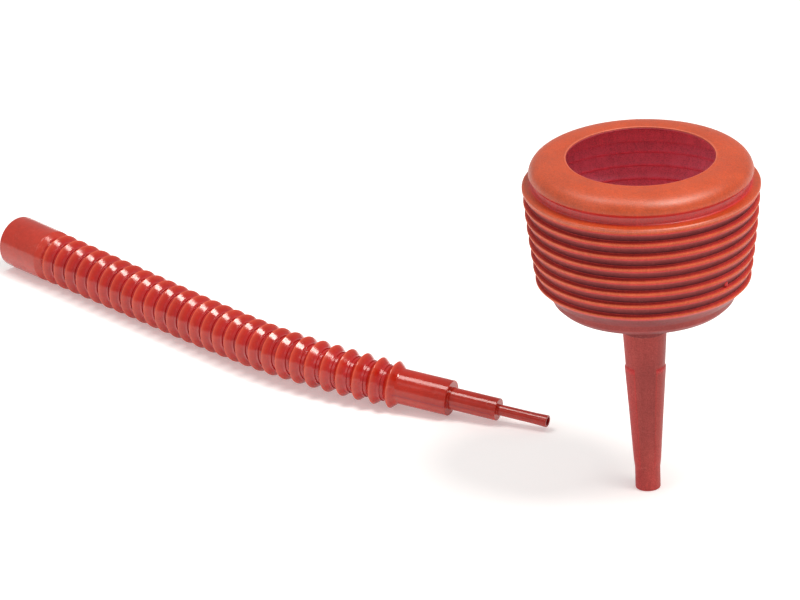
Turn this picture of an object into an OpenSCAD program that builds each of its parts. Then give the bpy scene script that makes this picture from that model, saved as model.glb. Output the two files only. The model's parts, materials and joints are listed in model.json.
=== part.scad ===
// Bellows funnel with a straight vented spout, and its loose corrugated
// extension hose with a stepped nozzle. Millimetres, +Z up.
// The origin is on the funnel's axis, at the lower end of the spout's straight
// land. The funnel stands upright on its nose and the hose lies beside it,
// both on the level floor_z.

/* [Funnel] */
// Radius of the widest crest, the flange below the dome
flange_r = 65; // [55:0.5:80]
// Height of the flange crest above the origin
flange_z = 178.5; // [150:0.5:220]
// Wall thickness of the mouldings
wall = 1.6; // [1:0.1:2.5]
// Radius of the filling mouth
mouth_r = 40.7; // [30:0.1:50]
// Height of the mouth above the flange crest
mouth_h = 16.4; // [12:0.1:22]
// Outer radius of the upright band below the dome
neck_r = 59.8; // [50:0.1:64]

/* [Bellows] */
// Number of free folds between the flange and the base rim
folds = 6; // [3:1:9]
// Height from one crest to the next, as moulded
fold_pitch = 7.55; // [6:0.05:10]
// Inward reach of each fold
fold_depth = 3.6; // [3:0.1:5]
// Play between a fold's inner lip and the fold below, which it slides in
fold_play = 0.4; // [0.3:0.05:0.8]

/* [Base and spout] */
// Radius of the rounded edge under the bellows
base_r = 50.6; // [40:0.1:56]
// Radius of the collar that the hose's socket slides over
collar_r = 12.9; // [10:0.1:16]
// Radius at the top of the spout
spout_top_r = 12.2; // [9:0.1:15]
// Radius of the straight land at the spout's lower end
nose_r = 7; // [5:0.1:9]
// Bore radius at the spout's lower end
outlet_r = 5.4; // [3.5:0.1:7]
// Number of vent ribs on the spout
vent_ribs_count = 3; // [2:1:6]

/* [Hose] */
// Number of corrugation rings
rings = 28; // [10:1:28]
// Length of one corrugation
ring_pitch = 10.05; // [8:0.05:13]
// Slot left between two rings for their bending
ring_gap = 2; // [1:0.1:3]
// Crest radius of the ring next to the socket
ring_r_first = 14.9; // [12:0.1:18]
// Crest radius of the ring next to the nozzle
ring_r_last = 13.5; // [11:0.1:17]
// Height of a crest above the root
ring_depth = 2.8; // [1.5:0.1:4]
// Outer radius of the plain socket
socket_r = 15.1; // [13:0.1:18]
// Bore radius of the socket
socket_bore_r = 13.3; // [11:0.1:16]
// Length of the plain socket
socket_len = 35; // [20:1:50]

/* [Nozzle] */
// Outer radii of the three steps
nozzle_r = [10.2, 6.4, 3.5];
// Bore radii of the three steps
nozzle_bore_r = [8.8, 5.1, 2.4];
// Lengths of the three steps
nozzle_len = [31, 29, 30];
// Length of the last ring's lip, from its crest to the nozzle
nozzle_lip = 3.6; // [3.3:0.1:6]

/* [Lay of the hose] */
// Place of the socket's open end, on the floor behind and left of the funnel
hose_start = [-355.6, 335.1];
// Direction of the straight part, turned from +X towards -Y
hose_heading = 48.9; // [0:0.1:90]
// Turn of each ring in the bent part
ring_turn = -2.4; // [-3:0.1:3]
// First ring of the bent part
first_turned = 19; // [2:1:27]

/* [Output] */
// Node to draw

/* [Hidden] */
$fn = 96;
floor_z = -2.5;

// Bellows: crest i = 0 is the flange, folds + 1 is the base rim.
function crest_r(i) = flange_r - 0.55 * i - 0.045 * i * i;
function crest_z(i) = flange_z - (i == 0 ? 0 : 0.5) - fold_pitch * i;
rim_i = folds + 1;

// Dome: an elliptical shoulder from the neck up to the gently sloping top.
shoulder = [9, 5.2];
shoulder_at = [52.7, 9.8];

// Heights on the base and the spout, from the origin up.
base_z = flange_z - 65;
cone_top_z = flange_z - 68.3;
collar_top_z = flange_z - 82.2;
collar_z = flange_z - 86;
land_len = 10;
rib_top_z = flange_z - 107;
rib_angle = 57;
rib_h = 0.6;

// Lay of the hose: each ring is [place, heading, elevation]. It lies level up to
// a low hump, from which the nozzle slopes down until its tip rests.
function along(h, e) = [cos(e) * cos(h), -cos(e) * sin(h), sin(e)];
function ring_heading(i) = hose_heading + ring_turn * max(0, i - first_turned + 1);
function ring_slope(i) = -0.15 + 0.4 * min(max(i - 12, 0), 4) - 0.8 * max(i - 20, 0);
function ring_dir(i) = along(ring_heading(i), ring_slope(i));
socket_mouth = [hose_start[0], hose_start[1], floor_z + socket_r];
function ring_at(i) = i == 1
    ? socket_mouth + (socket_len + ring_pitch / 2) * ring_dir(1)
    : ring_at(i - 1) + ring_pitch / 2 * (ring_dir(i - 1) + ring_dir(i));
function ring_r(i) = ring_r_first + (ring_r_last - ring_r_first) * (i - 1) / (rings - 1);
nozzle_start = ring_at(rings) + nozzle_lip * ring_dir(rings);
ring_wall = 1.2;

function pad2(i) = str(i < 10 ? "0" : "", i);

// Points of an elliptical arc about c, with half axes r, from angle a to b.
function arc(c, r, a, b, n = 8) =
    [for (k = [0:n]) let (t = a + (b - a) * k / n) c + [r[0] * cos(t), r[1] * sin(t)]];

// ---- Funnel ----

// Bead round the filling mouth.
module mouth_rim() {
    color("orangered") translate([0, 0, flange_z])
        rotate_extrude() polygon(concat(
            [[mouth_r, mouth_h - 2.4], [mouth_r + 2, mouth_h - 2.4]],
            arc([mouth_r + 1, mouth_h - 0.7], [1, 1], 0, 180)));
}

// Domed top, from the mouth bead out over the shoulder to the neck.
module dome() {
    top = mouth_h - 0.9;
    outer = concat([[mouth_r + 2, top]], arc(shoulder_at, shoulder, 90, 0),
                   [[60.9, 8.2], [neck_r, 7.2]]);
    inner = concat([[neck_r - wall, 7.2]],
                   arc(shoulder_at, shoulder - [wall, wall], -10, 90),
                   [[mouth_r + 2, top - wall]]);
    color("orangered") translate([0, 0, flange_z])
        rotate_extrude() polygon(concat(outer, inner));
}

// Upright band between the dome and the flange.
module neck_band() {
    color("firebrick") translate([0, 0, flange_z + 1.6]) difference() {
        cylinder(r = neck_r, h = 5.6);
        translate([0, 0, -1]) cylinder(r = neck_r - wall, h = 7.6);
    }
}

// The ledge of a fold: from its inner edge out to the crest, sloping gently down.
module ledge_outline(r) {
    polygon([[r - fold_depth, 1.5], [r - 0.7, 0.7], [r, 0.2], [r, -0.35],
             [r - 2.3, -0.9], [r - fold_depth, 0.2]]);
}

// The skirt of fold i: inward from the crest to an upright lip that hangs inside
// the next fold's ledge, so the wall stays closed as the bellows moves.
module skirt_outline(i) {
    r = crest_r(i);
    lip = crest_r(i + 1) - fold_depth - fold_play;
    polygon([[r - 2.6, 0.2], [r, 0.2], [r, -0.35], [r - 0.5, -0.8],
             [lip, -3.8], [lip, -7.7], [lip - 1, -7.7], [lip - 1, -3.4],
             [r - 2.3, -0.9]]);
}

module flange() {
    color("orangered") translate([0, 0, flange_z]) rotate_extrude() {
        polygon([[neck_r - wall, 1.6], [neck_r, 1.6], [flange_r - 0.7, 0.7],
                 [flange_r, 0.2], [flange_r, -0.35], [flange_r - 2.3, -0.9],
                 [neck_r - wall, 0]]);
        translate([0, -0.5]) skirt_outline(0);
    }
}

module fold(i) {
    color("firebrick") translate([0, 0, crest_z(i)]) rotate_extrude() {
        ledge_outline(crest_r(i));
        skirt_outline(i);
    }
}

// Lowest crest, with the side wall that narrows to the base's rounded edge.
module base_rim() {
    r = crest_r(rim_i);
    foot = base_z + 2.4 - crest_z(rim_i);
    color("firebrick") translate([0, 0, crest_z(rim_i)]) rotate_extrude() {
        ledge_outline(r);
        polygon([[r - 2.3, 0.2], [r, 0.2], [r, -0.35], [r - 0.5, -0.8],
                 [base_r - 0.6, foot], [base_r - 0.6 - wall, foot],
                 [r - 2.6, -0.9]]);
    }
}

// Rounded edge and shallow cone that leads to the spout.
module base_bowl() {
    edge = [base_r - 2.4, base_z];
    color("firebrick") rotate_extrude() polygon(concat(
        [[base_r - 0.6, base_z + 2.4]],
        arc(edge, [2.4, 3.3], 30, -80),
        [[collar_r, collar_top_z], [collar_r - wall, collar_top_z],
         [collar_r - wall, collar_top_z + 2], [base_r - 4.6, cone_top_z + 2],
         [base_r - 0.6 - wall, base_z + 0.6], [base_r - 0.6 - wall, base_z + 2.4]]));
}

// Short collar between the cone and the spout.
module spout_collar() {
    color("firebrick") translate([0, 0, collar_z]) difference() {
        cylinder(r = collar_r, h = collar_top_z - collar_z);
        translate([0, 0, -1])
            cylinder(r = spout_top_r - wall, h = collar_top_z - collar_z + 2);
    }
}

// Long tapering spout.
module spout() {
    h = collar_z - land_len;
    color("firebrick") translate([0, 0, land_len]) difference() {
        cylinder(r1 = nose_r, r2 = spout_top_r, h = h);
        cylinder(r1 = outlet_r, r2 = spout_top_r - wall, h = h);
    }
}

// Low ribs that let air out beside the spout, as separate solids.
module vent_ribs() {
    length = rib_top_z - land_len;
    slope = (spout_top_r - nose_r) / (collar_z - land_len);
    top_r = nose_r + slope * length;
    color("firebrick") translate([0, 0, land_len])
        for (k = [0:vent_ribs_count - 1])
            rotate(-61 + 360 / vent_ribs_count * k)
                rotate_extrude(angle = rib_angle)
                    polygon([[nose_r, 0], [top_r, length],
                             [top_r + rib_h, length - 1], [nose_r + rib_h / 3, 2]]);
}

// Straight land with a rounded nose.
module spout_nose() {
    color("firebrick") rotate_extrude() polygon(concat(
        [[outlet_r, land_len], [nose_r, land_len]],
        arc([nose_r - 1.5, 0], [1.5, -floor_z], 0, -90),
        [[outlet_r, floor_z]]));
}

// ---- Hose ----

// Stands a shape drawn along +Z at a place, along a heading and a slope.
module lay(at, heading, slope) {
    translate(at) rotate([0, 90 - slope, -heading]) children();
}

module on_ring(i) {
    lay(ring_at(i), ring_heading(i), ring_slope(i)) children();
}

// Plain sleeve that slides over the spout's collar.
module hose_socket() {
    r = ring_r(1);
    body = socket_len - 3;
    end = socket_len + ring_gap / 4;
    color("orangered") lay(socket_mouth, ring_heading(1), ring_slope(1))
        rotate_extrude() polygon([
            [socket_bore_r, 0], [socket_r - 0.3, 0], [socket_r, 0.6], [socket_r, body],
            [r - ring_depth, end], [r - ring_depth - ring_wall, end],
            [r - ring_depth - ring_wall, body], [socket_bore_r, body]]);
}

// One corrugation: a sharp crest between two plain lips. reach0 and reach1 are
// how far the lips run before and after the crest.
module ring(i, reach0, reach1) {
    r = ring_r(i);
    root = r - ring_depth;
    foot = ring_pitch * 0.32;
    color("orangered") on_ring(i) rotate_extrude() polygon([
        [root, -reach0], [root, -foot], [r, -0.4], [r, 0.4], [root, foot], [root, reach1],
        [root - ring_wall, reach1], [root - ring_wall, foot], [r - 2, 0],
        [root - ring_wall, -foot], [root - ring_wall, -reach0]]);
}

// One step of the nozzle, which closes down to the bore of the next.
module nozzle_step(k) {
    ends = [0, nozzle_len[0], nozzle_len[0] + nozzle_len[1]];
    next = k < 2 ? nozzle_bore_r[k + 1] : nozzle_bore_r[k];
    color("orangered") lay(nozzle_start, ring_heading(rings), ring_slope(rings))
        translate([0, 0, ends[k]]) difference() {
            cylinder(r = nozzle_r[k], h = nozzle_len[k]);
            translate([0, 0, -1]) cylinder(r = nozzle_bore_r[k], h = nozzle_len[k] - 0.4);
            cylinder(r = next, h = nozzle_len[k] + 1);
        }
}

// ---- Output ----

lip = (ring_pitch - ring_gap) / 2;
seam = ring_pitch / 2;

mouth_rim();
dome();
neck_band();
flange();
for (i = [1:folds]) fold(i);
base_rim();
base_bowl();
spout_collar();
spout();
vent_ribs();
spout_nose();
hose_socket();
for (i = [1:rings])
    ring(i, i == 1 ? seam - ring_gap / 4 : lip, i == rings ? nozzle_lip : lip);
nozzle_step(0);  // nozzle_large
nozzle_step(1);  // nozzle_medium
nozzle_step(2);  // nozzle_small
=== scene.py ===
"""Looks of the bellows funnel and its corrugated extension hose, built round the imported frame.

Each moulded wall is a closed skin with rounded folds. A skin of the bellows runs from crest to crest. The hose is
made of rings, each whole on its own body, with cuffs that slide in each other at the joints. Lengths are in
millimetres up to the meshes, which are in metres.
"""

import json
import math

import bmesh
import bpy
from mathutils import Matrix, Vector, noise


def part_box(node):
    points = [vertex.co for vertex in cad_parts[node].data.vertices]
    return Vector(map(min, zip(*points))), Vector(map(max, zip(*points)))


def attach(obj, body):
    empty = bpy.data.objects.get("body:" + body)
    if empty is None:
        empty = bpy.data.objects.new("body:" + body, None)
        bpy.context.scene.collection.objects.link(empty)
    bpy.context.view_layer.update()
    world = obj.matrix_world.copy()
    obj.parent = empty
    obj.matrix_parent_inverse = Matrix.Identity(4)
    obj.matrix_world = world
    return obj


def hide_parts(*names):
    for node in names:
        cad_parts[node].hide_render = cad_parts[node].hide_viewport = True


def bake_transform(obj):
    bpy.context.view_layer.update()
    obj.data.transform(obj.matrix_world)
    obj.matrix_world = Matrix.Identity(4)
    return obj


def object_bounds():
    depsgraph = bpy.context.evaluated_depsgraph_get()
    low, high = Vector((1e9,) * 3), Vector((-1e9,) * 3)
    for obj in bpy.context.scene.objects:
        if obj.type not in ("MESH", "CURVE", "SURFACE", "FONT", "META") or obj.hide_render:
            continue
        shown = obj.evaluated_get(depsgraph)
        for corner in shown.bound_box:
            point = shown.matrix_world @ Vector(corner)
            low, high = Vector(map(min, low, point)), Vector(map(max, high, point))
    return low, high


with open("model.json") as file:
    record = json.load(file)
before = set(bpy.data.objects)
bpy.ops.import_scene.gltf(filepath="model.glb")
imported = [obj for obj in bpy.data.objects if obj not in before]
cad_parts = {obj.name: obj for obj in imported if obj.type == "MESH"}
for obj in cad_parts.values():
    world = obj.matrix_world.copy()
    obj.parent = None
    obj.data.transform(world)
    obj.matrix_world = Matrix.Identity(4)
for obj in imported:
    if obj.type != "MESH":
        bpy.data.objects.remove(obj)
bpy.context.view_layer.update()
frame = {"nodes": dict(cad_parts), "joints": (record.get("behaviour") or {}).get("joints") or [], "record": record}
record = frame["record"]
MM = 0.001


# ---- What the frame says ----

def mount(name):
    return next(m for m in record["mounts"] if m["name"] == name)


def low(node):
    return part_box(node)[0].z / MM


def high(node):
    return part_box(node)[1].z / MM


def width(node):
    """Largest radius of an upright round node."""
    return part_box(node)[1].x / MM


def radius_about(node, centre, direction):
    """Largest distance of a node's points from an axis, in millimetres."""
    reach = 0.0
    for v in frame["nodes"][node].data.vertices:
        arm = v.co - centre
        reach = max(reach, (arm - arm.dot(direction) * direction).length)
    return reach / MM


LEDGE_RISE = 1.5      # a fold's ledge ends this far above its crest
FLANGE_RISE = 1.6     # and the flange's meets the neck this far above it
folds = ["fold_%d" % i for i in range(1, 7)]
crest_nodes = ["flange"] + folds + ["base_rim"]
crest_bodies = ["top"] + folds + ["funnel"]
crest_r = [width(n) for n in crest_nodes]
crest_z = [high(n) - (LEDGE_RISE if i else FLANGE_RISE) for i, n in enumerate(crest_nodes)]

hinges = sorted((j for j in frame["joints"] if j["type"] == "hinge"), key=lambda j: j["name"][-2:])
pivots = [Vector(j["pos_m"]) for j in hinges]
pitch = (pivots[1] - pivots[0]).length
first_way = -Vector(mount("hose_socket_bore")["axis"])
last_way = Vector(mount("nozzle_outlet")["axis"])
seams = [pivots[0] - pitch * first_way] + pivots + [pivots[-1] + pitch * last_way]
ring_at = [(a + b) / 2 for a, b in zip(seams, seams[1:])]
ring_way = [(b - a).normalized() for a, b in zip(seams, seams[1:])]
RINGS = len(ring_at)
ring_nodes = ["ring_%02d" % (i + 1) for i in range(RINGS)]
ring_bodies = ["hose_end"] + ring_nodes[1:-1] + ["nozzle"]
ring_r = [radius_about(n, at, way) for n, at, way in zip(ring_nodes, ring_at, ring_way)]
PITCH = pitch / MM
large = mount("nozzle_step_large")
NOZZLE_FROM = (Vector(large["pos_m"]) - ring_at[-1]).length / MM - large["dims"]["length_mm"] / 2


# ---- Meshes ----

def smoothstep(low_end, high_end, x):
    t = min(1.0, max(0.0, (x - low_end) / (high_end - low_end)))
    return t * t * (3 - 2 * t)


ARC_STEP = 14         # degrees of a rounded corner from one point to the next
LONGEST = 2.6         # a side is cut into pieces no longer than this
SUPPORT = 0.3         # with the first and last cut this near its ends
CORNER_SHARE = 0.46   # a rounding takes at most this share of a side
SHARP = math.radians(38)


def rounded(corners):
    """Closed outline from corners (radius, height, rounding). Corners become arcs, and long sides are cut.
    Gives each point with its place in the list of corners."""
    arcs = []
    count = len(corners)
    for k, (r, z, rounding) in enumerate(corners):
        here = Vector((r, z))
        back = Vector(corners[k - 1][:2]) - here
        ahead = Vector(corners[(k + 1) % count][:2]) - here
        turn = math.pi - back.angle(ahead)
        if not rounding or turn < math.radians(4):
            arcs.append([here])
            continue
        reach = min(rounding * math.tan(turn / 2), CORNER_SHARE * back.length,
                    CORNER_SHARE * ahead.length)
        size = reach / math.tan(turn / 2)
        middle = here + (back.normalized() + ahead.normalized()).normalized() * size / math.cos(turn / 2)
        start = here + back.normalized() * reach - middle
        end = here + ahead.normalized() * reach - middle
        steps = max(3, math.ceil(math.degrees(turn) / ARC_STEP))
        arcs.append([middle + (start * math.sin((1 - s / steps) * turn) + end * math.sin(s / steps * turn))
                     / math.sin(turn) for s in range(steps + 1)])
    points = []
    for k, arc in enumerate(arcs):
        points += [(p, k) for p in arc]
        a, b = arc[-1], arcs[(k + 1) % count][0]
        side = (b - a).length
        if side > 4 * SUPPORT:
            parts = max(1, math.ceil((side - 2 * SUPPORT) / LONGEST))
            cuts = [SUPPORT + (side - 2 * SUPPORT) * s / parts for s in range(parts + 1)]
            points += [(a.lerp(b, c / side), k + c / side) for c in cuts]
    return points


def bow(start, pull, end, steps):
    """Corners on a curve from start to end that leans towards pull, without rounding of their own."""
    def at(t):
        return [(1 - t) ** 2 * a + 2 * t * (1 - t) * b + t * t * c for a, b, c in zip(start, pull, end)]
    return [(*at(s / steps), 0) for s in range(steps + 1)]


def lathe(name, outer, inner, place, sides, tone, shape=None, bulge_highlight=0.0):
    """Closed skin turned from the corners of its outer and inner faces. tone(r, z, degrees) is stored as
    the attribute tone, and shape(r, angle, z) may move a point. The attribute inside is 0 on the outer
    face and 1 on the inner one, and up to the given extra more where that face stands inwards, to paint a
    highlight on the inner ridges there."""
    outline = rounded(outer + inner)
    widest, narrowest = max(c[0] for c in inner), min(c[0] for c in inner)
    mesh = bpy.data.meshes.new(name)
    bm = bmesh.new()
    rows, tones, insides = [], [], []
    for s in range(sides):
        angle = 2 * math.pi * s / sides
        row = []
        for p, k in outline:
            inside = len(outer) - 0.5 < k < len(outer) + len(inner) - 0.5
            r, z = shape(p.x, angle, p.y) if shape else (p.x, p.y)
            at = Vector((r * math.cos(angle) * MM, r * math.sin(angle) * MM, z * MM))
            row.append(bm.verts.new(place @ at))
            tones.append(tone(p.x, p.y, math.degrees(angle)))
            inwards = (widest - p.x) / (widest - narrowest)
            insides.append(inside * (1 + bulge_highlight * smoothstep(0.35, 0.9, inwards)))
        rows.append(row)
    for s in range(sides):
        one, two = rows[s], rows[(s + 1) % sides]
        for k in range(len(outline)):
            m = (k + 1) % len(outline)
            bm.faces.new((one[k], two[k], two[m], one[m]))
    bmesh.ops.recalc_face_normals(bm, faces=bm.faces)
    bm.to_mesh(mesh)
    bm.free()
    mesh.shade_smooth()
    mesh.set_sharp_from_angle(angle=SHARP)
    for label, values in (("tone", tones), ("inside", insides)):
        mesh.attributes.new(label, "FLOAT", "POINT").data.foreach_set("value", values)
    obj = bpy.data.objects.new(name, mesh)
    bpy.context.scene.collection.objects.link(obj)
    return obj


def upright(z):
    return Matrix.Translation((0, 0, z * MM))


def along(point, way):
    """Stands +Z of a local frame along the hose."""
    turn = way.to_track_quat("Z", "Y").to_matrix().to_4x4()
    return Matrix.Translation(point) @ turn


# ---- Materials ----

class Nodes:
    """Short calls for building one material's node tree."""

    def __init__(self, name):
        self.material = bpy.data.materials.new(name)
        self.material.use_nodes = True
        self.tree = self.material.node_tree
        self.shader = self.tree.nodes["Principled BSDF"]
        self.place = self.add("ShaderNodeTexCoord").outputs["Object"]

    def add(self, kind, **settings):
        node = self.tree.nodes.new(kind)
        for key, value in settings.items():
            setattr(node, key, value)
        return node

    def feed(self, socket, value):
        if isinstance(value, bpy.types.NodeSocket):
            self.tree.links.new(value, socket)
        else:
            socket.default_value = value

    def math(self, operation, a, b=0.0, clamp=False):
        node = self.add("ShaderNodeMath", operation=operation, use_clamp=clamp)
        self.feed(node.inputs[0], a)
        self.feed(node.inputs[1], b)
        return node.outputs[0]

    def spread(self, value, from_low, from_high, to_low, to_high):
        node = self.add("ShaderNodeMapRange", interpolation_type="SMOOTHSTEP")
        for socket, v in zip(node.inputs, (value, from_low, from_high, to_low, to_high)):
            self.feed(socket, v)
        return node.outputs[0]

    def mix(self, share, a, b, blend="MIX"):
        node = self.add("ShaderNodeMix", data_type="RGBA", blend_type=blend)
        self.feed(node.inputs[0], share)
        self.feed(node.inputs[6], a)
        self.feed(node.inputs[7], b)
        return node.outputs[2]

    def noise(self, size, detail=3.0, rough=0.55, stretch=(1, 1, 1)):
        """Noise whose features are about size millimetres."""
        mapping = self.add("ShaderNodeMapping")
        mapping.inputs["Scale"].default_value = stretch
        self.feed(mapping.inputs["Vector"], self.place)
        node = self.add("ShaderNodeTexNoise")
        self.feed(node.inputs["Vector"], mapping.outputs[0])
        node.inputs["Scale"].default_value = 1 / (size * MM)
        node.inputs["Detail"].default_value = detail
        node.inputs["Roughness"].default_value = rough
        return node.outputs["Fac"]

    def attribute(self, name):
        return self.add("ShaderNodeAttribute", attribute_name=name).outputs["Fac"]

    def bump(self, height, depth, under=None):
        node = self.add("ShaderNodeBump")
        node.inputs["Strength"].default_value = 1.0
        node.inputs["Distance"].default_value = depth * MM
        self.feed(node.inputs["Height"], height)
        if under is not None:
            self.feed(node.inputs["Normal"], under)
        return node.outputs[0]


DUST = (0.80, 0.45, 0.36, 1)


def plastic(name, tones, inside, roughness, specular, tint, grain, streak):
    """Moulded plastic. The mesh's tone runs through the list of colours, from the grooves and valleys, darkened as
    painted shade, up to the crests, lighter from a painted highlight and, on the funnel, from wear. The inner
    face has the colour inside, and a lighter one where it stands inwards, which is a painted highlight on the
    inner ridges."""
    n = Nodes(name)
    mottle = n.noise(17, 3)
    cloud = n.noise(48, 2)
    speckle = n.noise(0.8, 2, 0.75)
    streaks = n.noise(2.6, 3, 0.6, streak)
    scratches = n.noise(1.1, 2, 0.5, (1, 0.06, 0.4))

    place = n.math("ADD", n.attribute("tone"), n.spread(cloud, 0.3, 0.7, -0.02, 0.02), clamp=True)
    ramp = n.add("ShaderNodeValToRGB")
    steps = ramp.color_ramp.elements
    while len(steps) < len(tones):
        steps.new(0.5)
    for k, colour in enumerate(tones):
        steps[k].position = k / (len(tones) - 1)
        steps[k].color = (*colour, 1)
    n.feed(ramp.inputs[0], place)
    inner = n.attribute("inside")
    # A lighter copy of the inner colour, for a painted highlight where the inner face stands inwards.
    lit_bulge_colour = [min(1.0, c * 1.25 + 0.06) for c in inside]
    inner_colour = n.mix(n.spread(inner, 1.0, 2.0, 0.0, 1.0), (*inside, 1), (*lit_bulge_colour, 1))
    colour = n.mix(n.math("MINIMUM", inner, 1.0), ramp.outputs[0], inner_colour)
    tone = n.math("ADD", n.spread(mottle, 0.25, 0.75, 0.93, 1.06), n.spread(streaks, 0.3, 0.7, -0.06, 0.06))
    tone = n.math("ADD", tone, n.spread(speckle, 0.3, 0.7, -grain, grain))
    grey = n.add("ShaderNodeCombineColor")
    for socket in grey.inputs[:3]:
        n.feed(socket, tone)
    colour = n.mix(1.0, colour, grey.outputs[0], "MULTIPLY")
    patches = n.spread(n.noise(6, 3, 0.7), 0.5, 0.8, 0.0, 1.0)
    dust = n.math("MULTIPLY", patches, n.spread(speckle, 0.45, 0.7, 0.0, 0.10))
    colour = n.mix(dust, colour, DUST)
    n.feed(n.shader.inputs["Base Color"], colour)

    rough = n.math("ADD", n.spread(mottle, 0.3, 0.7, roughness - 0.03, roughness + 0.04),
                   n.spread(scratches, 0.58, 0.72, 0.0, 0.08))
    rough = n.math("ADD", rough, n.spread(speckle, 0.3, 0.7, -0.03, 0.03), clamp=True)
    n.feed(n.shader.inputs["Roughness"], rough)
    n.shader.inputs["Specular IOR Level"].default_value = specular
    n.shader.inputs["Specular Tint"].default_value = (*tint, 1)

    relief = n.bump(mottle, 0.14)
    relief = n.bump(streaks, 0.03, relief)
    relief = n.bump(speckle, 0.7 * grain, relief)
    n.feed(n.shader.inputs["Normal"], relief)
    return n.material


WARM, NEUTRAL = (1.0, 0.96, 0.90), (1.0, 0.97, 0.95)
UPRIGHT_STREAK, NO_STREAK = (1, 1, 0.10), (1, 1, 1)
# Tones of the funnel: groove (painted shade), matt wall of the base and spout, upright wall, ledge, lit top (more
# orange as painted light from above), crest (lighter from wear and a painted highlight).
GROOVE_SHADE, MATT, WALL_TONE, LEDGE, LIT_TOP, CREST_WEAR_AND_HIGHLIGHT = 0.0, 0.2, 0.4, 0.6, 0.8, 1.0
FUNNEL_TONES = ((0.125, 0.026, 0.031), (0.39, 0.060, 0.052), (0.55, 0.044, 0.046), (0.54, 0.044, 0.040),
                (0.50, 0.070, 0.020), (0.64, 0.125, 0.060))
DOME_TONES = ((0.125, 0.020, 0.020), (0.39, 0.020, 0.020), (0.54, 0.012, 0.016), (0.52, 0.032, 0.010),
              (0.475, 0.051, 0.004), (0.60, 0.110, 0.050))
# The inner colours are brightened and pinkish as a painted glow of light shining through the thin wall and
# bouncing inside; the base's bowl less so.
funnel_red = plastic("funnel_red", FUNNEL_TONES, inside=(0.94, 0.25, 0.36), roughness=0.40, specular=0.15,
                     tint=WARM, grain=0.15, streak=UPRIGHT_STREAK)
base_red = plastic("base_red", FUNNEL_TONES, inside=(0.72, 0.105, 0.090), roughness=0.40, specular=0.15,
                   tint=WARM, grain=0.15, streak=UPRIGHT_STREAK)
dome_red = plastic("dome_red", DOME_TONES, inside=(0.88, 0.22, 0.31), roughness=0.41, specular=0.90,
                   tint=WARM, grain=0.17, streak=UPRIGHT_STREAK)
# Tones of the hose: dark line (a painted reflection on the nozzle), valley (painted shade), flank, plain wall,
# crest (painted highlight).
REFLECTED_DARK_LINE, VALLEY_SHADE, FLANK, PLAIN, RIDGE_HIGHLIGHT = 0.0, 0.25, 0.5, 0.75, 1.0
HOSE_TONES = ((0.20, 0.010, 0.012), (0.42, 0.010, 0.010), (0.45, 0.015, 0.004), (0.47, 0.034, 0.018),
              (0.61, 0.072, 0.034))
hose_red = plastic("hose_red", HOSE_TONES, inside=(0.40, 0.012, 0.012), roughness=0.14, specular=0.66,
                   tint=NEUTRAL, grain=0.035, streak=NO_STREAK)


def finish_piece(obj, material, slot, *nodes):
    obj.data.materials.append(material)
    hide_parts(*nodes)


# ---- Funnel ----

WALL = 1.3            # thickness of the moulded wall
TIP = 0.42            # rounding of a crest
CUT = -0.1            # height above a crest at which neighbouring skins meet
FLANGE_CUT = -0.45    # and above the flange's crest
CUT_IN = 1.9          # the skins' edges reach this far in from the crest
FUNNEL_SIDES, SPOUT_SIDES = 160, 240


def waver(angle, z):
    """The slight unevenness of a blown wall, nearly always inwards."""
    d = Vector((math.cos(angle) * 1.7, math.sin(angle) * 1.7, z * 0.035))
    return 0.22 * (noise.noise(d) - 0.55)


def uneven(height):
    def shape(r, angle, z):
        return r + waver(angle, z + height), z
    return shape


# Dome: thin lip, domed top, neck and the upper face of the flange.
flange_z, flange_r = crest_z[0], crest_r[0]
neck_r = width("neck_band")
neck_low, neck_high = low("neck_band") - flange_z, high("neck_band") - flange_z
lip_r = mount("mouth")["dims"]["r_mm"]
lip_top = high("mouth_rim") - flange_z
dome_r = width("dome")
brow = [(dome_r - 0.3, neck_high + 0.7), (dome_r - 1.7, lip_top + 1.0), (lip_r + 1.5, lip_top - 0.3)]
inner_brow = [(dome_r - WALL - 0.3, neck_high + 1.0), (dome_r - 3.2, lip_top - 0.9),
              (lip_r + 1.5, lip_top - WALL - 0.4)]
dome_outer = (
    [(flange_r, FLANGE_CUT, 0), (flange_r, 0.35, TIP), (flange_r - 0.7, 1.05, 0.6),
     (neck_r, neck_low + 0.15, 0.7), (neck_r, neck_high - 1.3, 0.6), (dome_r - 1.0, neck_high - 0.3, 0.5)]
    + bow(*brow, 22) + [(lip_r + 0.75, lip_top, 0.5), (lip_r, lip_top - 0.15, 0.4)])
dome_inner = (
    [(lip_r + 0.2, lip_top - 1.5, 0.5)] + bow(*inner_brow, 14)[::-1]
    + [(neck_r - WALL, neck_high, 0.5), (neck_r - WALL, 0.4, 0.6), (flange_r - CUT_IN, FLANGE_CUT, 0)])


# Tone of the dome: the shoulder turns lighter and more orange towards the top, painted light from above; the lip
# and the flange's edge take the crest tone, lighter from wear and a painted highlight.
def dome_tone(r, z, angle):
    if z > neck_high - 1.0:
        shoulder = WALL_TONE + (LIT_TOP - WALL_TONE) * smoothstep(neck_high - 0.6, neck_high + 1.2, z)
        lip = 1 - smoothstep(lip_r + 0.5, lip_r + 1.0, r)
        return shoulder + (CREST_WEAR_AND_HIGHLIGHT - shoulder) * lip
    ledge = WALL_TONE + (LIT_TOP - WALL_TONE) * smoothstep(neck_r + 0.2, neck_r + 1.4, r)
    return ledge + (CREST_WEAR_AND_HIGHLIGHT - ledge) * 0.6 * smoothstep(flange_r - 0.22, flange_r - 0.05, r)


dome = lathe("dome_skin", dome_outer, dome_inner, upright(flange_z), FUNNEL_SIDES, dome_tone,
             uneven(flange_z))
finish_piece(dome, dome_red, "funnel_red", "mouth_rim", "dome", "neck_band")
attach(dome, "top")

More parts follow.
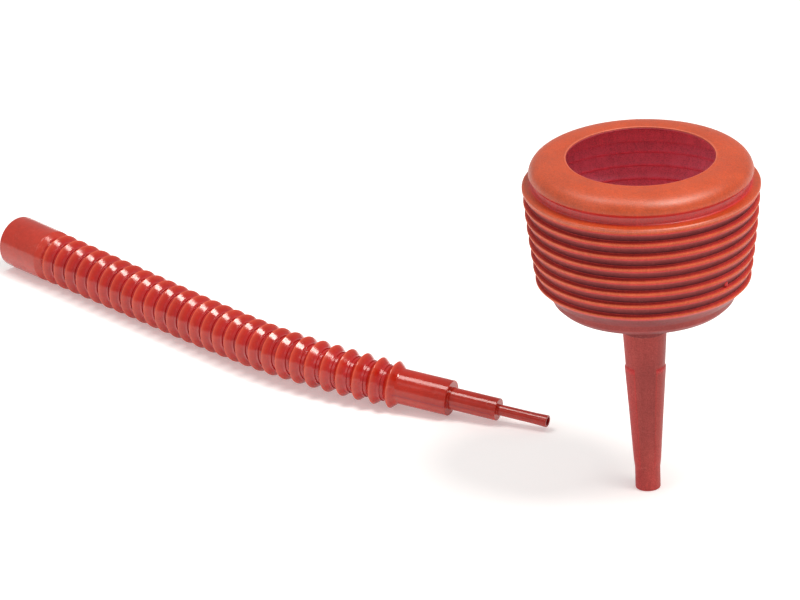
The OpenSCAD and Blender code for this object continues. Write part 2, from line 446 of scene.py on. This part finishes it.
# Bellows: one skin from each crest to the next, with a steep underside and a short ledge.
FOLD_DOWN = 7.55      # usual height from one crest to the next
ROOT_IN = 3.4         # the groove is this far in from the crest
ROOT_DOWN = 6.55      # and this far down, with any extra height added
for i in range(len(crest_nodes) - 1):
    r, r_next = crest_r[i], crest_r[i + 1]
    down = crest_z[i] - crest_z[i + 1]
    extra = down - FOLD_DOWN
    top_cut = CUT if i else FLANGE_CUT
    outer = [
        (r, top_cut, 0), (r, -0.5 - extra, TIP), (r - ROOT_IN, -ROOT_DOWN - extra, 0.5),
        (r_next - 0.8, -down + 0.7, 0.6), (r_next, -down + 0.35, TIP), (r_next, -down + CUT, 0)]
    inner = [(r_next - CUT_IN, -down + CUT, 0), (r - ROOT_IN - WALL * 1.05, -ROOT_DOWN - extra + 0.5, 2.0),
             (r - CUT_IN, top_cut, 0)]

    # Tone of a fold: the steep underside is darkened as painted shade, lighter near the crest and on the left,
    # where more light falls; the crest is lighter from wear and a painted highlight, less so on the right.
    def fold_tone(radius, z, angle):
        envelope = r + (r_next - r) * min(1.0, max(0.0, -z / down))
        away = envelope - radius
        upper = z > -ROOT_DOWN - extra + 0.3
        left_light = smoothstep(-0.5, 0.9, -math.cos(math.radians(angle)))
        wall = GROOVE_SHADE + 0.04 * left_light + 0.08 * (1 - smoothstep(0.8, 2.0, away)) if upper else LEDGE
        crest = 1 - smoothstep(0.04, 0.34 if upper else 0.46, away)
        return wall + (CREST_WEAR_AND_HIGHLIGHT - 0.12 * (1 - left_light) - wall) * crest

    skin = lathe("bellows_skin_%d" % (i + 1), outer, inner, upright(crest_z[i]), FUNNEL_SIDES, fold_tone,
                 uneven(crest_z[i]), min(1.0, 0.3 * i))
    finish_piece(skin, funnel_red, "funnel_red", crest_nodes[i])
    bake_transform(skin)

# A small upright nub in the groove under one of the lower crests.
NUB_FOLD, NUB_ANGLE, NUB_SIZE = 5, math.radians(-43), Vector((2.6, 2.0, 3.8))
NUB_IN, NUB_DOWN, NUB_EDGE = 2.9, 4.1, 0.35
bm = bmesh.new()
bmesh.ops.create_cube(bm, size=1)
bmesh.ops.scale(bm, vec=NUB_SIZE * MM, verts=bm.verts)
bmesh.ops.bevel(bm, geom=bm.edges[:], offset=NUB_EDGE * MM, segments=3, affect="EDGES")
nub_mesh = bpy.data.meshes.new("nub_skin")
bm.to_mesh(nub_mesh)
bm.free()
nub_mesh.shade_smooth()
nub_tones = nub_mesh.attributes.new("tone", "FLOAT", "POINT")
nub_tones.data.foreach_set("value", [WALL_TONE] * len(nub_mesh.vertices))
nub_mesh.transform(Matrix.Rotation(NUB_ANGLE, 4, "Z") @ Matrix.Translation(
    ((crest_r[NUB_FOLD] - NUB_IN) * MM, 0, (crest_z[NUB_FOLD] - NUB_DOWN) * MM)))
nub = bpy.data.objects.new("nub_skin", nub_mesh)
bpy.context.scene.collection.objects.link(nub)
finish_piece(nub, funnel_red, "funnel_red")
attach(nub, crest_bodies[NUB_FOLD])

# Base: lowest crest, side wall, rounded edge, shallow cone and collar.
EDGE_DOWN = 2.4       # the rounded edge lies about this far below the bowl's top
# The base's wall sits darker than the spout's: painted shade on its downward face.
BASE_SHADE_TONE = 0.07
rim_z, rim_r = crest_z[-1], crest_r[-1]
collar_r, collar_low, collar_high = width("spout_collar"), low("spout_collar"), high("spout_collar")
base_low = high("base_bowl") - EDGE_DOWN
base_r = width("base_bowl")
base_outer = [
    (rim_r, rim_z + CUT, 0), (rim_r, rim_z - 0.5, TIP), (base_r + 0.2, base_low + 3.0, 2.0),
    (base_r - 0.7, base_low - 0.4, 1.8), (base_r - 3.6, base_low - 3.2, 2.0),
    (collar_r + 0.2, collar_high + 0.25, 1.2), (collar_r, collar_low, 0.45)]
base_inner = [
    (collar_r - 2.2, collar_low, 0), (collar_r - 2.2, collar_high + 1.4, 1.0),
    (base_r - 4.6, base_low - 3.2 + WALL + 0.4, 2.0), (base_r - 0.6 - WALL, base_low + 1.6, 2.0),
    (rim_r - CUT_IN, rim_z + CUT, 0)]


# Tone of the base: low on the ramp as painted shade, with a lighter band at the rounded edge as a painted
# highlight, and the crest tone on the rim.
def base_tone(r, z, angle):
    crest = (1 - smoothstep(0.1, 0.7, rim_r - r)) * smoothstep(rim_z - 1.4, rim_z - 0.6, z)
    edge_highlight = 0.06 * (1 - smoothstep(1.0, 3.5, abs(z - base_low - 1.0)))
    return BASE_SHADE_TONE + edge_highlight + (CREST_WEAR_AND_HIGHLIGHT - 0.12) * crest


base = lathe("base_skin", base_outer, base_inner, upright(0), FUNNEL_SIDES, base_tone, uneven(0))
finish_piece(base, base_red, "funnel_red", "base_rim", "base_bowl", "spout_collar")
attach(base, "funnel")

# Spout: long taper with its low air ribs, straight land and rounded nose.
spout_top_r = width("spout")
nose_low, land_top = low("spout_nose"), high("spout_nose")
nose_r = mount("spout_nose")["dims"]["r_mm"]
bore_r = mount("spout_outlet")["dims"]["r_mm"]
rib_top = high("vent_ribs")
RIB_START, RIB_ANGLE, RIB_HIGH, RIB_COUNT = -61.0, 57.0, 0.6, 3


def taper_r(z):
    return nose_r + (spout_top_r - nose_r) * (z - land_top) / (collar_low - land_top)


spout_outer = [
    (spout_top_r, collar_low, 0), (taper_r(rib_top + 0.6), rib_top + 0.6, 0),
    (taper_r(rib_top - 0.2), rib_top - 0.2, 0), (nose_r, land_top, 1.0), (nose_r, nose_low, 1.5)]
spout_inner = [(bore_r, nose_low, 0.5), (bore_r, land_top, 1.0), (spout_top_r - WALL - 0.2, collar_low, 0)]


def across_rib(degrees):
    """1 on an air rib, 0 between two ribs."""
    turn = (degrees - RIB_START) % (360 / RIB_COUNT)
    return smoothstep(0, 3, turn) * (1 - smoothstep(RIB_ANGLE - 3, RIB_ANGLE, turn))


def rib_ends(z):
    return smoothstep(land_top - 1, land_top + 5, z) * (1 - smoothstep(rib_top - 0.3, rib_top + 0.4, z))


def spout_shape(r, angle, z):
    wobble = 0.35 * waver(angle, z)
    if r < taper_r(max(z, land_top)) - 0.5:
        return r + wobble, z
    taper = (z - land_top) / (rib_top - land_top)
    rib = across_rib(math.degrees(angle)) * rib_ends(z)
    return r + wobble + rib * RIB_HIGH * (0.45 + 0.55 * taper), z


# Tone of the spout: lighter on the left side, where more light falls, and on the ribs' edges and the step at their
# top ends as painted highlights; lighter also towards the nose.
def spout_tone(r, z, angle):
    rib = across_rib(angle)
    edge_highlight = 4 * rib * (1 - rib)
    step_highlight = 1 - smoothstep(0.2, 1.1, abs(z - rib_top))
    side = 0.10 * smoothstep(0.3, 1.0, -math.cos(math.radians(angle)))
    low_end = 1 - smoothstep(land_top - 2, land_top + 25, z)
    on_rib = rib_ends(z) * (0.03 * rib + 0.14 * edge_highlight)
    return MATT - 0.03 + side + on_rib + 0.30 * step_highlight * rib + 0.06 * low_end


spout = lathe("spout_skin", spout_outer, spout_inner, upright(0), SPOUT_SIDES, spout_tone, spout_shape)
finish_piece(spout, base_red, "funnel_red", "spout", "vent_ribs", "spout_nose")
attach(spout, "funnel")


# ---- Hose ----

HOSE_SIDES = 84
HOSE_WALL = 1.15
RING_DEPTH = 2.8      # from crest to valley
HOSE_TIP = 0.5        # rounding of a crest
HALF = PITCH / 2
FLAT = 0.14 * PITCH   # half the width of a valley's floor
CUFF = 0.45           # thickness of the cuff over a joint
PLAY = 0.08           # clearance between two cuffs
CUFF_REACH = 2.2      # the inner cuff goes this far past the joint
CUFF_END = 0.1        # and the outer cuff this far
CUFF_BACK = 3.3       # its ball face starts this far before the joint
socket_bore = mount("hose_socket_bore")["dims"]["r_mm"]
nozzle_dims = [mount("nozzle_step_" + k)["dims"] for k in ("large", "medium", "small")]


def flank_tone(top_r, corrugated, plain=FLANK):
    """Tone on a corrugation whose crest has the radius top_r, and plain where corrugated(z) is false."""
    def tone(r, z, angle):
        if not corrugated(z):
            return plain
        # Valleys darkened as painted shade, crests lighter as a painted highlight.
        away = top_r - r
        return (VALLEY_SHADE + (FLANK - VALLEY_SHADE) * (1 - smoothstep(1.6, 2.6, away))
                + (RIDGE_HIGHLIGHT - FLANK) * (1 - smoothstep(0.10, 0.60, away)))
    return tone


def ball(radius, centre, start, end, steps=7):
    """Corners on a ball about the axis point centre, from height start to end above that point."""
    heights = [start + (end - start) * k / steps for k in range(steps + 1)]
    return [(math.sqrt(radius ** 2 - h ** 2), centre + h, 0) for h in heights]


def joint_ball(i):
    """Radius of the ball on which the cuffs of rings i and i + 1 slide, about the joint between them."""
    return (ring_r[i] + ring_r[i + 1]) / 2 - RING_DEPTH - CUFF


def cuff_over(i):
    """Far side of ring i: outer corners down from the crest, and inner corners, on the ball, back up."""
    r, R = ring_r[i], joint_ball(i)
    outer = [(r, 0.12, HOSE_TIP), (R + CUFF, HALF - FLAT, 0.7), (R + CUFF, HALF + CUFF_END, 0.15)]
    return outer, ball(R, HALF, CUFF_END, -CUFF_BACK) + [(r - 2.0, 0.3, 0.5)]


def cuff_under(i):
    """Near side of ring i: outer corners, on the ball, up to the crest, and inner corners back down."""
    r, R = ring_r[i], joint_ball(i - 1)
    outer = ball(R - PLAY, -HALF, -CUFF_REACH, FLAT) + [(r, -0.12, HOSE_TIP)]
    return outer, [(R - 0.85, -HALF + FLAT, 0.6), (R - 0.95, -HALF - CUFF_REACH, 0)]


# Each ring rides on its own body. At every joint one ring's cuff slides in the next one's, on a ball about
# the joint, so that the hose can bend either way without a gap.
for i in range(1, RINGS - 1):
    out_a, in_a = cuff_under(i)
    out_b, in_b = cuff_over(i)
    skin = lathe("hose_skin_%02d" % (i + 1), out_a + out_b, in_b + in_a, along(ring_at[i], ring_way[i]),
                 HOSE_SIDES, flank_tone(ring_r[i], lambda z: True))
    finish_piece(skin, hose_red, "hose_red", ring_nodes[i])
    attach(skin, ring_bodies[i])

# Socket: plain sleeve with a small shoulder, up to the first crest.
first_r = ring_r[0]
socket_points = [v.co - ring_at[0] for v in frame["nodes"]["hose_socket"].data.vertices]
back_reach = -max(p.dot(-first_way) for p in socket_points) / MM
socket_r = radius_about("hose_socket", ring_at[0], first_way)
socket_end = -HALF
SOCKET_TONE = 0.72
out_1, in_1 = cuff_over(0)
socket_outer = [
    (socket_r - 0.1, back_reach, 0.9), (socket_r, back_reach + 8, 0), (socket_r - 0.1, socket_end - 3.2, 1.3),
    (first_r - RING_DEPTH + 0.2, socket_end + 0.3, 0.8), (first_r, -0.12, HOSE_TIP)] + out_1
socket_inner = in_1 + [
    (first_r - RING_DEPTH - HOSE_WALL, socket_end, 0.5), (socket_bore, socket_end - 2.6, 1.0),
    (socket_bore, back_reach, 0.5)]
socket = lathe("hose_socket_skin", socket_outer, socket_inner, along(ring_at[0], first_way), HOSE_SIDES,
               flank_tone(first_r, lambda z: z > socket_end, SOCKET_TONE))
finish_piece(socket, hose_red, "hose_red", "hose_socket", ring_nodes[0])
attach(socket, "hose_end")

# Nozzle: from the last crest through three steps with squared ends, the last one a little flared.
last_r = ring_r[-1]
nozzle_steps = []
z = NOZZLE_FROM
for dims in nozzle_dims:
    nozzle_steps.append((dims["r_mm"], z, z + dims["length_mm"]))
    z += dims["length_mm"]
outlet_r = mount("nozzle_outlet")["dims"]["r_mm"]
out_n, in_n = cuff_under(RINGS - 1)
(r_1, a_1, b_1), (r_2, a_2, b_2), (r_3, a_3, b_3) = nozzle_steps
nozzle_outer = out_n + [(last_r, 0.12, HOSE_TIP)] + [
    (r_1 + 0.35, NOZZLE_FROM - 0.1, 0.5), (r_1, NOZZLE_FROM + 0.9, 0.5), (r_1, b_1, 0.35),
    (r_2, a_2, 0.3), (r_2, b_2, 0.3),
    (r_3 - 0.35, a_3, 0.3), (r_3 - 0.3, b_3 - 8, 0), (r_3, b_3, 0.25)]
nozzle_inner = [
    (outlet_r, b_3, 0.25), (outlet_r, a_3 - HOSE_WALL, 0.3), (r_2 - HOSE_WALL, b_2 - HOSE_WALL, 0.3),
    (r_2 - HOSE_WALL, a_2 - HOSE_WALL, 0.3), (r_1 - HOSE_WALL, b_1 - HOSE_WALL, 0.3),
    (r_1 - HOSE_WALL, a_1, 0.3)] + in_n
ring_end = NOZZLE_FROM * 0.8
last_flank = flank_tone(last_r, lambda z: z < ring_end)
# Where the painted dark reflection line runs, low on the nozzle's front.
DARK_LINE_AT = 360 / HOSE_SIDES * 44    # degrees, on a line of points


def nozzle_tone(r, z, angle):
    """Smooth steps with a dark line low on the front, a painted reflection, and a lighter band under it, a painted
    reflection of the floor.
    """
    if z < ring_end:
        return last_flank(r, z, angle)
    reflected_dark_line = (1 - smoothstep(2.0, 6.0, abs(angle - DARK_LINE_AT))) * (1 - smoothstep(a_3 - 2, a_3, z))
    under = smoothstep(DARK_LINE_AT + 1, DARK_LINE_AT + 6, angle) * (1 - smoothstep(235, 255, angle))
    return FLANK + 0.45 * (PLAIN - FLANK) * under - (FLANK - REFLECTED_DARK_LINE) * 0.85 * reflected_dark_line


nozzle = lathe("nozzle_skin", nozzle_outer, nozzle_inner, along(ring_at[-1], last_way), HOSE_SIDES,
               nozzle_tone)
finish_piece(nozzle, hose_red, "hose_red", ring_nodes[-1], "nozzle_large", "nozzle_medium", "nozzle_small")
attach(nozzle, "nozzle")


# ---- Floor, light and camera ----

FLOOR_GAP, FLOOR_SIZE = 0.00005, 40
floor_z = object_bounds()[0].z - FLOOR_GAP
bpy.ops.mesh.primitive_plane_add(size=FLOOR_SIZE, location=(0, 0, floor_z))
floor = bpy.context.object
floor.name = "floor"
n = Nodes("floor_white")
n.feed(n.shader.inputs["Base Color"], n.mix(n.noise(300, 2), (0.90, 0.90, 0.90, 1), (0.93, 0.93, 0.93, 1)))
n.shader.inputs["Roughness"].default_value = 0.9
n.shader.inputs["Specular IOR Level"].default_value = 0.1
n.shader.inputs["Emission Color"].default_value = (1, 1, 1, 1)
n.shader.inputs["Emission Strength"].default_value = 0.28
floor.data.materials.append(n.material)

world = bpy.data.worlds.new("studio")
bpy.context.scene.world = world
world.use_nodes = True
sky = world.node_tree.nodes["Background"]
sky.inputs["Color"].default_value = (1.0, 0.985, 0.97, 1)
sky.inputs["Strength"].default_value = 0.42

middle = Vector((-0.12, 0.05, 0.1))


def softbox(name, azimuth, elevation, distance, size, radiance, colour):
    """A round soft light of a given radiance, aimed at the middle of the set."""
    a, e = math.radians(azimuth), math.radians(elevation)
    way = Vector((math.sin(a) * math.cos(e), -math.cos(a) * math.cos(e), math.sin(e)))
    light = bpy.data.lights.new(name, "AREA")
    light.shape = "DISK"
    light.size = size
    light.energy = radiance * math.pi * math.pi * size ** 2 / 4
    light.color = colour
    obj = bpy.data.objects.new(name, light)
    obj.location = middle + way * distance
    obj.rotation_mode = "QUATERNION"
    obj.rotation_quaternion = way.to_track_quat("Z", "Y")
    obj.visible_camera = False
    bpy.context.scene.collection.objects.link(obj)


softbox("key", 62, 62, 2.2, 0.92, 18.0, (1.0, 0.95, 0.89))
softbox("top_left", -100, 73, 2.2, 0.90, 6.8, (1.0, 0.97, 0.93))
softbox("side", -65, 35, 2.4, 1.2, 1.0, (1.0, 0.95, 0.95))

LENS, SENSOR = 360.0, 36.0
FROM_FLANGE = Vector((-0.13285, -3.97962, 1.71014))    # metres, from the middle of the flange's crest
TILT, ROLL = math.radians(24.021), math.radians(-2.065)
right_flat, up_flat = Vector((1, 0, 0)), Vector((0, math.sin(TILT), math.cos(TILT)))
right = math.cos(ROLL) * right_flat + math.sin(ROLL) * up_flat
up = -math.sin(ROLL) * right_flat + math.cos(ROLL) * up_flat
forward = Vector((0, math.cos(TILT), -math.sin(TILT)))
camera = bpy.data.objects.new("camera", bpy.data.cameras.new("camera"))
camera.data.lens = LENS
camera.data.sensor_width = SENSOR
camera.data.clip_end = 100
camera.rotation_mode = "QUATERNION"
camera.rotation_quaternion = Matrix((right, up, -forward)).transposed().to_quaternion()
camera.location = Vector((0, 0, flange_z * MM)) + FROM_FLANGE
bpy.context.scene.collection.objects.link(camera)
bpy.context.scene.camera = camera
bpy.context.scene.view_settings.view_transform = "Standard"
